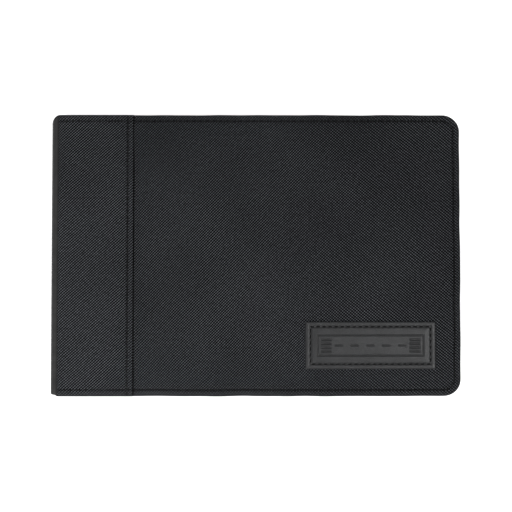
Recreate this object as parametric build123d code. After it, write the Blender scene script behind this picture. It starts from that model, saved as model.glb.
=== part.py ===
from build123d import *

import os
from math import pi, sqrt

# Pilot logbook: a landscape ring binder in a sewn, padded twill cover, closed and lying on its back.
# Units are millimetres. X runs from the spine to the fore-edge, Y from the tail to the head, Z up.
# The origin is at the centre of the closed book, on the surface that it lies on.

# ---- cover, overall -------------------------------------------------------------------------------
COVER_LENGTH = 238.0        # spine face to fore-edge
COVER_WIDTH = 164.0         # tail to head
CORNER_R = 10.0             # fore-edge corners
INSIDE_HEIGHT = 24.9        # from lining to lining when closed
LINING_T = 0.6
BOARD_T = 1.8
FABRIC_T = 0.7
PANEL_T = LINING_T + BOARD_T + 2 * FABRIC_T
EDGE_X = COVER_LENGTH / 2
EDGE_Y = COVER_WIDTH / 2
HINGE_X = -EDGE_X + PANEL_T         # both fold lines of the spine, on the inside of the cover
INSIDE_LOW_Z = PANEL_T
INSIDE_TOP_Z = PANEL_T + INSIDE_HEIGHT
FRONT_FABRIC_TOP_Z = INSIDE_TOP_Z + LINING_T + BOARD_T + FABRIC_T
BAND_EDGE_X = -71.3         # folded edge of the lapped spine wrap
BUTT_GAP = 0.3
FOLD_GAP = 0.3              # the spine panel stops this far short of each fold line
SPINE_END_INSET = 4.0       # the stiff spine board stops this far short of the wrap at head and tail

# ---- patch ----------------------------------------------------------------------------------------
PATCH_LENGTH = 75.4
PATCH_WIDTH = 27.5
PATCH_T = 1.2
PATCH_CENTRE = (66.5, -52.6)
EMBLEM_DEPTH = 0.25
EMBLEM_LENGTH = 62.0        # a plain runway figure: border, threshold bars and a dashed centre line
EMBLEM_WIDTH = 12.4
EMBLEM_LINE = 0.7
THRESHOLD_BARS = 4
THRESHOLD_LENGTH = 6.0
CENTRE_DASHES = 5

# ---- ring mechanism -------------------------------------------------------------------------------
RING_X = -100.5             # centre of the rings
RING_Z = 14.7
RING_R = 11.2               # to the centre of the wire
WIRE_R = 1.2
RING_PITCH = 80.0           # two rings, as in a two-hole ring binder
RING_TIP_GAP = 0.1
RING_END_DEG = 146.2        # round from the tip to the end that is fixed in the leaf
RING_SLOT_PLAY = 0.6
RING_SLOT_INNER_X = 4.6
RING_SLOT_LOW_Z = 4.6
PLATE_LENGTH = 150.6
PLATE_HALF_WIDTH = 8.8
PLATE_TOP_Z = 7.6
PLATE_SHOULDER_Z = 7.0
PLATE_T = 0.7
LEAF_LENGTH = 148.4
LEAF_PIVOT_X = 8.0          # from the ring centre
LEAF_PIVOT_Z = 5.4
LEAF_T = 0.9
LEAF_EDGE_GAP = 0.15        # from the pivot line to the edge of the metal
LEAF_REST_DEG = 4.0         # the closed leaves dip towards the middle by this angle
LEAF_MEETING_GAP = 0.15     # half the gap between the two leaves
LEAF_STEP_LENGTH = 3.0      # thinned from below at each end, where the lever's tongue reaches in
LEAF_STEP_WIDTH = 2.4
RIVET_Y = 60.0
RIVET_SHANK_R = 1.5
RIVET_HEAD_R = 2.6
RIVET_CAP_R = 3.5
RIVET_CAP_T = 0.5
RIVET_HEAD_RISE = 0.6
RIVET_LEAF_HOLE_R = 2.4
LEVER_PIVOT_Y = 77.0
LEVER_PIVOT_Z = 5.6
LEVER_WIDTH = 12.0
LEVER_T = 1.2
LEVER_TAB_TOP_Z = 15.8
LEVER_TAB_CORNER_R = 2.5
LEVER_PIN_R = 0.6
LEVER_PIN_FIT = 0.05        # radial
LEVER_HUB_R = 1.35
TONGUE_REACH = 4.6
TONGUE_WIDTH = 3.0
TONGUE_T = 0.55
TONGUE_LOW_Z = 3.98
EAR_END_Y = 79.0
EAR_TOP_Z = 7.2

# ---- pages ----------------------------------------------------------------------------------------
SHEET_LENGTH = 210.0
SHEET_WIDTH = 148.0
HOLE_R = 3.0
HOLE_MARGIN = 11.2          # sheet edge to hole centre
HOLE_PLAY = 0.7
TAB_REACH = 5.5
TAB_WIDTH = 24.0
TAB_CORNER_R = 2.0
LOW_BLOCK_PLAY = 0.45       # the wire slopes most through the lowest block

# ---- pockets --------------------------------------------------------------------------------------
POCKET_SHEET_T = 0.5
POCKET_WELT_W = 3.0
POCKET_SLOT = 0.7
DOCUMENT_POCKET_X = (-70.0, 112.0)
FRONT_POCKET_Y = (-76.0, 30.0)
CARD_POCKET_X = (24.0, 108.0)
CARD_POCKET_Y = (-72.0, -14.0)
BACK_POCKET_Y = (-76.0, 30.0)


def box_between(low, high):
    """A block from its lowest to its highest corner."""
    size = [b - a for a, b in zip(low, high)]
    middle = [(a + b) / 2 for a, b in zip(low, high)]
    return Pos(*middle) * Box(*size)


def write(part, name):
    """One STEP file for one piece."""
    part.label = name
    export_step(part, os.path.join("parts", name + ".step"))


# ---- cover panels ---------------------------------------------------------------------------------
def panel_outline(x_from, inset, z, height):
    """A cover panel from a straight spine-side edge to the fore-edge with its two rounded corners."""
    panel = box_between((x_from, -EDGE_Y + inset, z), (EDGE_X - inset, EDGE_Y - inset, z + height))
    corners = panel.edges().filter_by(Axis.Z).group_by(Axis.X)[-1]
    return fillet(corners, CORNER_R - inset)


def front_cover_fabric():
    """Skin of the front cover, turned down round the board on three sides."""
    skin_z = FRONT_FABRIC_TOP_Z - FABRIC_T
    skin = panel_outline(HINGE_X, 0, INSIDE_TOP_Z, FRONT_FABRIC_TOP_Z - INSIDE_TOP_Z)
    return skin - panel_outline(HINGE_X, FABRIC_T, INSIDE_TOP_Z, skin_z - INSIDE_TOP_Z)


def front_wrap_band():
    """Spine wrap where it laps over the front cover, one fabric higher than the rest."""
    low = (HINGE_X, -EDGE_Y, FRONT_FABRIC_TOP_Z)
    return box_between(low, (BAND_EDGE_X, EDGE_Y, FRONT_FABRIC_TOP_Z + FABRIC_T))


def back_cover_fabric():
    """Skin of the back cover, level with the back band so that the book lies flat."""
    x_from = BAND_EDGE_X + BUTT_GAP
    skin = panel_outline(x_from, 0, 0, INSIDE_LOW_Z)
    return skin - panel_outline(x_from, FABRIC_T, 2 * FABRIC_T, INSIDE_LOW_Z - 2 * FABRIC_T)


def back_wrap_band():
    """Spine wrap where it laps over the back cover, turned up at head and tail."""
    skin = box_between((HINGE_X, -EDGE_Y, 0), (BAND_EDGE_X, EDGE_Y, INSIDE_LOW_Z))
    hollow_y = EDGE_Y - FABRIC_T
    skin -= box_between((HINGE_X, -hollow_y, 2 * FABRIC_T), (BAND_EDGE_X, hollow_y, INSIDE_LOW_Z))
    for side in (-1, 1):
        recess = Pos(RING_X, side * RIVET_Y, 2 * FABRIC_T) * Cylinder(
            RIVET_CAP_R + 0.1, RIVET_CAP_T, align=(Align.CENTER, Align.CENTER, Align.MAX)
        )
        skin -= recess
    return skin


def inner_layer(z, height):
    """Board or lining of a cover, inside the turned edge of the fabric."""
    return panel_outline(HINGE_X, FABRIC_T, z, height)


def rivet_holes(z, height):
    """Holes for the two rivet shanks."""
    holes = [
        Pos(RING_X, side * RIVET_Y, z + height / 2) * Cylinder(RIVET_SHANK_R, height)
        for side in (-1, 1)
    ]
    return Compound(children=holes)


def back_layer(z, height):
    """Board or lining of the back cover, with the rivet holes."""
    return inner_layer(z, height) - rivet_holes(z, height)


def spine_layer(x_outer, thickness, end_inset=0.0):
    """One upright layer of the spine, short of both fold lines."""
    end_y = EDGE_Y - end_inset
    low = (x_outer, -end_y, INSIDE_LOW_Z + FOLD_GAP)
    return box_between(low, (x_outer + thickness, end_y, INSIDE_TOP_Z - FOLD_GAP))


def spine_fold(z_pivot, up):
    """Quarter-round bend of the spine wrap round one fold line."""
    outer = Cylinder(PANEL_T, COVER_WIDTH)
    shell = outer - Cylinder(PANEL_T - 2 * FABRIC_T, COVER_WIDTH)
    shell = Pos(HINGE_X, 0, z_pivot) * Rot(90, 0, 0) * shell
    reach = PANEL_T + 1
    z_low = z_pivot if up else z_pivot - reach
    return shell & box_between((HINGE_X - reach, -EDGE_Y, z_low), (HINGE_X, EDGE_Y, z_low + reach))


# ---- leather patch --------------------------------------------------------------------------------
def patch_emblem():
    """Runway figure pressed into the leather: border, threshold bars and a dashed centre line."""
    inner_length = EMBLEM_LENGTH - 2 * EMBLEM_LINE
    inner_width = EMBLEM_WIDTH - 2 * EMBLEM_LINE
    figure = Rectangle(EMBLEM_LENGTH, EMBLEM_WIDTH) - Rectangle(inner_length, inner_width)
    bar_pitch = inner_width / (THRESHOLD_BARS + 1)
    for side in (-1, 1):
        bar_x = side * (inner_length / 2 - 1.6 - THRESHOLD_LENGTH / 2)
        for row in range(THRESHOLD_BARS):
            bar_y = (row - (THRESHOLD_BARS - 1) / 2) * bar_pitch
            figure += Pos(bar_x, bar_y) * Rectangle(THRESHOLD_LENGTH, bar_pitch / 2)
    dash_room = inner_length - 4 * THRESHOLD_LENGTH
    dash_pitch = dash_room / (CENTRE_DASHES - 1)
    for index in range(CENTRE_DASHES):
        dash_x = (index - (CENTRE_DASHES - 1) / 2) * dash_pitch
        figure += Pos(dash_x, 0) * Rectangle(dash_pitch / 2, EMBLEM_LINE)
    return extrude(figure, EMBLEM_DEPTH)


def leather_patch():
    """Square-cornered patch on the main panel of the front cover."""
    patch = Box(PATCH_LENGTH, PATCH_WIDTH, PATCH_T, align=(Align.CENTER, Align.CENTER, Align.MIN))
    patch -= Pos(0, 0, PATCH_T - EMBLEM_DEPTH) * patch_emblem()
    return Pos(PATCH_CENTRE[0], PATCH_CENTRE[1], FRONT_FABRIC_TOP_Z) * patch


# ---- pockets --------------------------------------------------------------------------------------
def pocket(x_span, y_span, z_lining, outward, stack=0.0):
    """A flat pocket open towards the spine: a welt on three sides and a facing sheet over it."""
    depth = POCKET_SLOT + POCKET_SHEET_T
    face = box_between((x_span[0], y_span[0], 0), (x_span[1], y_span[1], depth))
    slot_low = (x_span[0], y_span[0] + POCKET_WELT_W, 0)
    slot_high = (x_span[1] - POCKET_WELT_W, y_span[1] - POCKET_WELT_W, POCKET_SLOT)
    face -= box_between(slot_low, slot_high)
    if outward < 0:
        face = mirror(face, about=Plane.XY)
    return Pos(0, 0, z_lining + outward * stack) * face


# ---- ring mechanism -------------------------------------------------------------------------------
def dome_profile(offset):
    """Half-open section of the domed base plate: flanks on the lining and a shallow arc on top."""
    half = PLATE_HALF_WIDTH - offset
    top = PLATE_TOP_Z - offset
    shoulder = PLATE_SHOULDER_Z - offset
    with BuildSketch(Plane.XZ) as section:
        with BuildLine():
            Polyline((-half, INSIDE_LOW_Z), (-half, shoulder))
            ThreePointArc((-half, shoulder), (0, top), (half, shoulder))
            Polyline((half, shoulder), (half, INSIDE_LOW_Z), (-half, INSIDE_LOW_Z))
        make_face()
    return section.sketch


def ring_base_plate():
    """Domed steel channel over the leaves, slotted for the rings, with two ears for each lever."""
    plate = extrude(dome_profile(0), PLATE_LENGTH / 2, both=True)
    plate -= extrude(dome_profile(PLATE_T), PLATE_LENGTH / 2, both=True)
    for side in (-1, 1):
        for flank in (-1, 1):
            plate += lever_ear(side, flank)
    slot_half_length = WIRE_R + RING_SLOT_PLAY
    for ring_y in (-RING_PITCH / 2, RING_PITCH / 2):
        for flank in (-1, 1):
            x_low, x_high = sorted((flank * RING_SLOT_INNER_X, flank * (PLATE_HALF_WIDTH + 1)))
            low = (x_low, ring_y - slot_half_length, RING_SLOT_LOW_Z)
            plate -= box_between(low, (x_high, ring_y + slot_half_length, PLATE_TOP_Z + 1))
    plate = Pos(RING_X, 0, 0) * plate
    return plate - rivet_holes(INSIDE_LOW_Z, PLATE_TOP_Z)


def lever_ear(side, flank):
    """An upright ear that carries one end of a lever pin, in line with the flank of the plate."""
    x_low, x_high = sorted((flank * (PLATE_HALF_WIDTH - PLATE_T), flank * PLATE_HALF_WIDTH))
    y_low, y_high = sorted((side * (PLATE_LENGTH / 2 - 1), side * EAR_END_Y))
    ear = box_between((x_low, y_low, INSIDE_LOW_Z), (x_high, y_high, EAR_TOP_Z))
    bore = Cylinder(LEVER_PIN_R, 2 * PLATE_HALF_WIDTH + 2)
    return ear - Pos(0, side * LEVER_PIVOT_Y, LEVER_PIVOT_Z) * Rot(0, 90, 0) * bore


def rivets():
    """Two rivets: a cap buried in the back band, a shank, and a rounded head on the base plate."""
    upwards = (Align.CENTER, Align.CENTER, Align.MIN)
    cap_z = 2 * FABRIC_T - RIVET_CAP_T
    head = Pos(0, 0, PLATE_TOP_Z) * Cylinder(RIVET_HEAD_R, RIVET_HEAD_RISE, align=upwards)
    head = fillet(head.edges().group_by(Axis.Z)[-1], RIVET_HEAD_RISE * 0.8)
    rivet = Pos(0, 0, cap_z) * Cylinder(RIVET_CAP_R, RIVET_CAP_T, align=upwards)
    rivet += Pos(0, 0, cap_z) * Cylinder(RIVET_SHANK_R, PLATE_TOP_Z - cap_z, align=upwards)
    rivet += head
    return Compound(children=[Pos(RING_X, side * RIVET_Y, 0) * rivet for side in (-1, 1)])


def ring_half(side, ring_y):
    """Half of one ring, from its tip at the top to the end that is fixed in its leaf."""
    centre = (RING_X, ring_y, RING_Z)
    tip = Plane(origin=(RING_X, ring_y, RING_Z + RING_R), x_dir=(0, 1, 0), z_dir=(1, 0, 0))
    gap_deg = RING_TIP_GAP / 2 / RING_R * 180 / pi
    axis = Axis(centre, (0, side, 0))
    half = revolve(tip * Circle(WIRE_R), axis=axis, revolution_arc=RING_END_DEG - gap_deg)
    return half.rotate(axis, gap_deg)


def hinged_leaf(side):
    """One of the two steel leaves under the dome, dipping towards the middle when closed."""
    length = LEAF_PIVOT_X - LEAF_MEETING_GAP
    leaf_low = (LEAF_EDGE_GAP, -LEAF_LENGTH / 2, -LEAF_T / 2)
    leaf = box_between(leaf_low, (length, LEAF_LENGTH / 2, LEAF_T / 2))
    step_x = LEAF_PIVOT_X - LEAF_STEP_WIDTH
    for end in (-1, 1):
        step_y = end * (LEAF_LENGTH / 2 - LEAF_STEP_LENGTH)
        y_low, y_high = sorted((step_y, end * (LEAF_LENGTH / 2 + 1)))
        leaf -= box_between((step_x, y_low, -LEAF_T), (LEAF_PIVOT_X, y_high, 0))
    leaf = Pos(-LEAF_PIVOT_X, 0, LEAF_PIVOT_Z) * Rot(0, LEAF_REST_DEG, 0) * leaf
    if side > 0:
        leaf = mirror(leaf, about=Plane.YZ)
    leaf = Pos(RING_X, 0, 0) * leaf
    for rivet_y in (-RIVET_Y, RIVET_Y):
        leaf -= Pos(RING_X, rivet_y, LEAF_PIVOT_Z) * Cylinder(RIVET_LEAF_HOLE_R, 4 * LEAF_T)
    for ring_y in (-RING_PITCH / 2, RING_PITCH / 2):
        leaf -= ring_half(side, ring_y)
    return leaf


def lever(side):
    """Opening lever: a finger tab, a hub on the pin, and a tongue under the ends of both leaves."""
    tab_low = (-LEVER_WIDTH / 2, -LEVER_T / 2, LEVER_PIVOT_Z)
    tab = box_between(tab_low, (LEVER_WIDTH / 2, LEVER_T / 2, LEVER_TAB_TOP_Z))
    tab = fillet(tab.edges().filter_by(Axis.Y).group_by(Axis.Z)[-1], LEVER_TAB_CORNER_R)
    hub = Pos(0, 0, LEVER_PIVOT_Z) * Rot(0, 90, 0) * Cylinder(LEVER_HUB_R, LEVER_WIDTH)
    tongue_low = (-TONGUE_WIDTH / 2, -TONGUE_REACH, TONGUE_LOW_Z)
    tongue = box_between(tongue_low, (TONGUE_WIDTH / 2, 0, TONGUE_LOW_Z + TONGUE_T))
    bore = Cylinder(LEVER_PIN_R + LEVER_PIN_FIT, 2 * LEVER_WIDTH)
    body = tab + hub + tongue - Pos(0, 0, LEVER_PIVOT_Z) * Rot(0, 90, 0) * bore
    if side < 0:
        body = mirror(body, about=Plane.XZ)
    return Pos(RING_X, side * LEVER_PIVOT_Y, 0) * body


def lever_pin(side):
    """Pin pressed into the two ears of the base plate."""
    pin = Rot(0, 90, 0) * Cylinder(LEVER_PIN_R, 2 * PLATE_HALF_WIDTH)
    return Pos(RING_X, side * LEVER_PIVOT_Y, LEVER_PIVOT_Z) * pin


# ---- pages ----------------------------------------------------------------------------------------
def hole_x(low, high, play):
    """Where the holes of a block of sheets sit, so that the rings pass through with room to spare."""
    middle = (low + high) / 2
    return RING_X + sqrt(RING_R**2 - middle**2) + play


def sheet_block(low, high, play=HOLE_PLAY, tab_y=None):
    """Punched sheets between two heights above the ring centre, with an index tab on a divider."""
    x_hole = hole_x(low, high, play)
    x_edge = x_hole - HOLE_MARGIN
    z_low = RING_Z + low
    z_high = RING_Z + high
    block_low = (x_edge, -SHEET_WIDTH / 2, z_low)
    block = box_between(block_low, (x_edge + SHEET_LENGTH, SHEET_WIDTH / 2, z_high))
    if tab_y is not None:
        x_tab = x_edge + SHEET_LENGTH
        tab_low = (x_tab - 1, tab_y - TAB_WIDTH / 2, z_low)
        tab = box_between(tab_low, (x_tab + TAB_REACH, tab_y + TAB_WIDTH / 2, z_high))
        block += fillet(tab.edges().filter_by(Axis.Z).group_by(Axis.X)[-1], TAB_CORNER_R)
    for ring_y in (-RING_PITCH / 2, RING_PITCH / 2):
        block -= Pos(x_hole, ring_y, (z_low + z_high) / 2) * Cylinder(HOLE_R, z_high - z_low + 1)
    return block


# ---- the whole book -------------------------------------------------------------------------------
def make_cover():
    """Front cover, spine and back cover, from the outside in."""
    front_board_z = INSIDE_TOP_Z + LINING_T
    back_board_z = INSIDE_LOW_Z - LINING_T - BOARD_T
    spine_board_x = -EDGE_X + 2 * FABRIC_T
    write(front_cover_fabric(), "front_cover_fabric")
    write(front_wrap_band(), "front_wrap_band")
    write(inner_layer(front_board_z, BOARD_T), "front_board")
    write(inner_layer(INSIDE_TOP_Z, LINING_T), "front_lining")
    write(leather_patch(), "leather_patch")
    write(back_cover_fabric(), "back_cover_fabric")
    write(back_wrap_band(), "back_wrap_band")
    write(back_layer(back_board_z, BOARD_T), "back_board")
    write(back_layer(INSIDE_LOW_Z - LINING_T, LINING_T), "back_lining")
    write(spine_layer(-EDGE_X, 2 * FABRIC_T), "spine_wrap")
    write(spine_layer(spine_board_x, BOARD_T, SPINE_END_INSET), "spine_board")
    write(spine_layer(HINGE_X - LINING_T, LINING_T, SPINE_END_INSET), "spine_lining")
    write(spine_fold(INSIDE_LOW_Z, up=False), "back_spine_fold")
    write(spine_fold(INSIDE_TOP_Z, up=True), "front_spine_fold")


def make_pockets():
    """Flat pockets on the linings."""
    facing_depth = POCKET_SLOT + POCKET_SHEET_T
    write(pocket(DOCUMENT_POCKET_X, FRONT_POCKET_Y, INSIDE_TOP_Z, -1), "front_document_pocket")
    write(pocket(CARD_POCKET_X, CARD_POCKET_Y, INSIDE_TOP_Z, -1, facing_depth), "licence_card_pocket")
    write(pocket(DOCUMENT_POCKET_X, BACK_POCKET_Y, INSIDE_LOW_Z, 1), "back_document_pocket")


def make_ring_mechanism():
    """Base plate, rivets, leaves, rings, levers and pins."""
    write(ring_base_plate(), "ring_base_plate")
    write(rivets(), "ring_rivets")
    for side, side_name in ((-1, "left"), (1, "right")):
        write(hinged_leaf(side), f"{side_name}_leaf")
        for end, end_name in ((-1, "tail"), (1, "head")):
            write(ring_half(side, end * RING_PITCH / 2), f"{side_name}_ring_half_{end_name}")
    for end, end_name in ((-1, "tail"), (1, "head")):
        write(lever(end), f"{end_name}_lever")
        write(lever_pin(end), f"{end_name}_lever_pin")


def make_pages():
    """Blocks of sheets and dividers, from the back of the book to the front."""
    write(sheet_block(-6.2, -3.6, play=LOW_BLOCK_PLAY), "log_sheets_back")
    write(sheet_block(-3.45, -2.95, tab_y=-44.0), "divider_back")
    write(sheet_block(-2.8, -0.2), "log_sheets_middle")
    write(sheet_block(0.1, 0.6, tab_y=4.0), "divider_front")
    write(sheet_block(0.75, 2.95), "log_sheets_front")
    write(sheet_block(3.1, 3.5), "title_sheet")


os.makedirs("parts", exist_ok=True)
make_cover()
make_pockets()
make_ring_mechanism()
make_pages()
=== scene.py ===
from math import cos, exp, hypot, pi, radians, sin
from random import Random

import bpy
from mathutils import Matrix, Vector, noise
from mathutils.geometry import tessellate_polygon

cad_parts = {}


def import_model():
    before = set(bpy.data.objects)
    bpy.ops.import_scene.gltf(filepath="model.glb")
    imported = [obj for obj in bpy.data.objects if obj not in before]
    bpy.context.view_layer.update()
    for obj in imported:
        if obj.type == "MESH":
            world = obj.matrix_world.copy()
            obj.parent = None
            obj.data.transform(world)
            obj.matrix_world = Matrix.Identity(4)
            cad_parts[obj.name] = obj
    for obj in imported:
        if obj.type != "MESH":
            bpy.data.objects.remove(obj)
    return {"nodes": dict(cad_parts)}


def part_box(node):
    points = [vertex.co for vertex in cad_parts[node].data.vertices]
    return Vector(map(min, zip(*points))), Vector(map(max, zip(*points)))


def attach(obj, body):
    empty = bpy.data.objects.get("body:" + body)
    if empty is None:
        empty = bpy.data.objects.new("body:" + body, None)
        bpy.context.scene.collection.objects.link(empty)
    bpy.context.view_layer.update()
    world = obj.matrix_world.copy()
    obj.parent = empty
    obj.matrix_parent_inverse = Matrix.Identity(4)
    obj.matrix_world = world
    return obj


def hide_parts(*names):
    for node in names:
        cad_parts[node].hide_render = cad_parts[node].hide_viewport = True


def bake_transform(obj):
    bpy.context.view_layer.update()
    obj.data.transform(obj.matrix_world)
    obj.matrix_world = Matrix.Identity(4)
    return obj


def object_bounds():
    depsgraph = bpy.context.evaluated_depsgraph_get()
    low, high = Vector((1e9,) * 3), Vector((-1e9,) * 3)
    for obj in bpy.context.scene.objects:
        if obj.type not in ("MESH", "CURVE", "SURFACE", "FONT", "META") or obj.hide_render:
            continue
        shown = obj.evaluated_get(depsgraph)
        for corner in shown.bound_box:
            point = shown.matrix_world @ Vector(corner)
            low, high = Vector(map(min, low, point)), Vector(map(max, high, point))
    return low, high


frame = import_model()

# Looks of the pilot logbook. Lengths below are in millimetres; meshes are made in metres.
CAD_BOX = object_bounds()
MM = 0.001

# ---- places, read from the frame ----


def box_mm(node):
    """Lowest and highest corner of a CAD node, in millimetres."""
    low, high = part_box(node)
    return low / MM, high / MM


FRONT_LOW, FRONT_HIGH = box_mm("front_cover_fabric")
BACK_LOW, BACK_HIGH = box_mm("back_cover_fabric")
PATCH_LOW, PATCH_HIGH = box_mm("leather_patch")
SPINE_X = box_mm("spine_wrap")[0].x     # outer face of the spine
BAND_X = box_mm("front_wrap_band")[1].x  # folded edge of the lapped band
BAND_TOP = box_mm("front_wrap_band")[1].z
HINGE_X = FRONT_LOW.x                   # fold lines of the spine, on the inside of the cover
FORE_X = FRONT_HIGH.x
EDGE_Y = FRONT_HIGH.y
INSIDE_TOP = FRONT_LOW.z                # inner face of the front cover
INSIDE_LOW = BACK_HIGH.z                # inner face of the back cover
PANEL_TOP = FRONT_HIGH.z
MIRROR_SUM = INSIDE_TOP + INSIDE_LOW    # z of a point plus z of its mirror image in the back cover
CORNER_R = 10.0
CROWN = 0.15                            # how far the padding lifts the main panels
EDGE_SWAY = 0.3                         # how far the sewn edges wander
TURN_IN = 9.0                           # how far the cloth turns in round the edge of a board
BUTT_OVERLAP = 0.15                     # the back panel's edge presses on the folded edge of the band

# ---- stitching ----
EDGE_STITCH_INSET = 3.7
EDGE_STITCH_PITCH = 3.9
SEAM_STITCH_INSET = 3.4
SEAM_STITCH_PITCH = 3.7
PATCH_STITCH_INSET = 2.9
PATCH_STITCH_PITCH = 3.5
POCKET_STITCH_INSET = 1.6
GROOVE_DEPTH = 0.34
PATCH_GROOVE_DEPTH = 0.26
GROOVE_WIDTH = 0.55
STITCH_RADIUS = 0.4
POCKET_STITCH_RADIUS = 0.22
STITCH_FILL = 0.7                       # share of the pitch that shows as thread
STITCH_RISE = 0.12                      # how far the arch of a stitch stands above its own radius
STITCH_BED = 0.2                        # depth of the line of stitches under the face of the cloth
BAND_STITCH_BED = 0.28
INNER_STITCH_BED = 0.14


# ---- shader building ----
class Shader:
    """A node material with short calls for the nodes that every material here uses."""

    def __init__(self, name, roughness, metallic=0.0, specular=0.5):
        self.material = bpy.data.materials.new(name)
        self.material.use_nodes = True
        self.tree = self.material.node_tree
        self.surface = self.tree.nodes["Principled BSDF"]
        self.surface_is({"Roughness": roughness, "Metallic": metallic, "Specular IOR Level": specular})

    def node(self, kind, inputs=(), **settings):
        made = self.tree.nodes.new("ShaderNode" + kind)
        for key, value in settings.items():
            setattr(made, key, value)
        for key, value in dict(inputs).items():
            self.put(made.inputs[key], value)
        return made

    def put(self, socket, value):
        if isinstance(value, bpy.types.NodeSocket):
            self.tree.links.new(value, socket)
        else:
            socket.default_value = value

    def surface_is(self, inputs):
        for key, value in inputs.items():
            self.put(self.surface.inputs[key], value)

    def math(self, operation, first, second=0.0, third=0.0):
        return self.node("Math", {0: first, 1: second, 2: third}, operation=operation).outputs[0]

    def times(self, first, second):
        return self.math("MULTIPLY", first, second)

    def dot(self, vector, direction):
        made = self.node("VectorMath", {0: vector, 1: direction}, operation="DOT_PRODUCT")
        return made.outputs["Value"]

    def cloth_mm(self):
        """Position on the flat cloth, in millimetres."""
        return self.node("UVMap", uv_map="cloth").outputs["UV"]

    def pressed(self):
        """How deep a place is pressed or stitched in: 0 is level, 1 is the bottom of the groove."""
        stored = self.node("UVMap", uv_map="pressed").outputs["UV"]
        return self.node("SeparateXYZ", {"Vector": stored}).outputs[0]

    def place_mm(self):
        """Position in the piece's own frame, in millimetres."""
        place = self.node("TexCoord").outputs["Object"]
        return self.node("VectorMath", {0: place, 3: 1 / MM}, operation="SCALE").outputs[0]

    def noise(self, vector, scale, detail=2.0, roughness=0.5, distortion=0.0):
        inputs = {"Vector": vector, "Scale": scale, "Detail": detail, "Roughness": roughness}
        return self.node("TexNoise", {**inputs, "Distortion": distortion}).outputs[0]

    def jitter(self, vector, scale, amount):
        """The same place, moved a little by noise, so that woven lines aren't ruled straight."""
        colour = self.node("TexNoise", {"Vector": vector, "Scale": scale, "Detail": 1.0}).outputs[1]
        centred = self.node("VectorMath", {0: colour, 1: (0.5,) * 3}, operation="SUBTRACT").outputs[0]
        moved = self.node("VectorMath", {0: centred, 3: amount}, operation="SCALE").outputs[0]
        return self.node("VectorMath", {0: vector, 1: moved}, operation="ADD").outputs[0]

    def wave(self, vector, cycles):
        """A cosine wave from 0 to 1, with so many cycles per millimetre along x and y."""
        turns = self.dot(vector, (cycles[0], cycles[1], 0.0))
        cosine = self.math("COSINE", self.times(turns, 2 * pi))
        return self.math("MULTIPLY_ADD", cosine, 0.5, 0.5)

    def span(self, value, low, high, to_low=0.0, to_high=1.0, smooth=False):
        inputs = {"Value": value, "From Min": low, "From Max": high, "To Min": to_low, "To Max": to_high}
        kind = "SMOOTHSTEP" if smooth else "LINEAR"
        return self.node("MapRange", inputs, interpolation_type=kind).outputs["Result"]

    def blend_colour(self, factor, first, second):
        return self.node("Mix", {0: factor, 6: first, 7: second}, data_type="RGBA").outputs[2]

    def bump(self, height, distance_mm):
        made = self.node("Bump", {"Height": height, "Distance": distance_mm * MM})
        self.surface_is({"Normal": made.outputs[0]})

    def sheen(self, weight, roughness, tint=(1.0, 1.0, 1.0)):
        tint = (*tint, 1.0)
        self.surface_is({"Sheen Weight": weight, "Sheen Roughness": roughness, "Sheen Tint": tint})

    def colour(self, factor, first, second):
        """Base colour, from the first to the second as the factor goes from 0 to 1."""
        self.surface_is({"Base Color": self.blend_colour(factor, first, second)})


def grey(level, blue=1.0):
    """A dark neutral colour, slightly bluish."""
    return (level, level * (1 + 0.05 * blue), level * (1 + 0.15 * blue), 1.0)


def twill(name, rib, cross, dark, light):
    """Heavy black twill: ribs one way, yarn crossings the other, light flecks where they meet.
    It has painted shade in the stitch grooves and in the crease under the folded edge of the band,
    and a painted light gradient that makes it lighter towards the tail and darker towards the head."""
    shader = Shader(name, roughness=0.85, specular=0.04)
    place = shader.jitter(shader.cloth_mm(), 0.11, 0.5)
    place = shader.jitter(place, 0.9, 0.12)
    ribs = shader.wave(place, rib)
    crossings = shader.wave(place, cross)
    flat = shader.node("SeparateXYZ", {"Vector": shader.cloth_mm()})
    flat_x, flat_y = flat.outputs[0], flat.outputs[1]
    # In uneven patches, the ribs stand out towards the spine and the crossings towards the fore-edge.
    stretch = shader.math("MULTIPLY_ADD", shader.noise(shader.cloth_mm(), 0.03, 1.0), 90.0, flat_x)
    balance = shader.span(stretch, 55, 125)
    from_ribs = shader.times(ribs, shader.span(balance, 0, 1, 0.72, 0.42))
    from_crossings = shader.times(crossings, shader.span(balance, 0, 1, 0.28, 0.58))
    height = shader.math("ADD", from_ribs, from_crossings)
    fleck = shader.math("POWER", shader.span(height, 0.3, 1.0), 2.1)
    filament = shader.noise(place, 3.1, 3.0, 0.65)
    yarn = shader.noise(place, 0.62, 2.0)
    clouds = shader.noise(place, 0.02, 2.0)
    level = shader.times(fleck, shader.span(filament, 0.3, 0.7, 0.5, 1.4))
    level = shader.times(level, shader.span(yarn, 0.3, 0.7, 0.65, 1.3))
    level = shader.times(level, shader.span(clouds, 0.3, 0.7, 0.85, 1.15))
    # painted light gradient: the cloth's colour is lighter towards the tail and darker towards the head
    level = shader.times(level, shader.span(flat_y, -80, 80, 1.08, 0.86))
    # painted shade: a near-black line in the crease under the folded edge of the band
    from_crease = shader.math("ABSOLUTE", shader.math("SUBTRACT", flat_x, BAND_X))
    level = shader.times(level, shader.span(from_crease, 0.3, 0.9, 0.03, 1.0, smooth=True))
    # painted shade: the cloth is darker in the stitch grooves
    level = shader.times(level, shader.span(shader.pressed(), 0.1, 1.0, 1.0, 0.3))
    shader.colour(level, dark, light)
    shader.bump(shader.math("MULTIPLY_ADD", filament, 0.25, height), 0.16)
    shader.sheen(0.01, 0.5, (0.85, 0.9, 1.0))
    return shader.material


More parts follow.
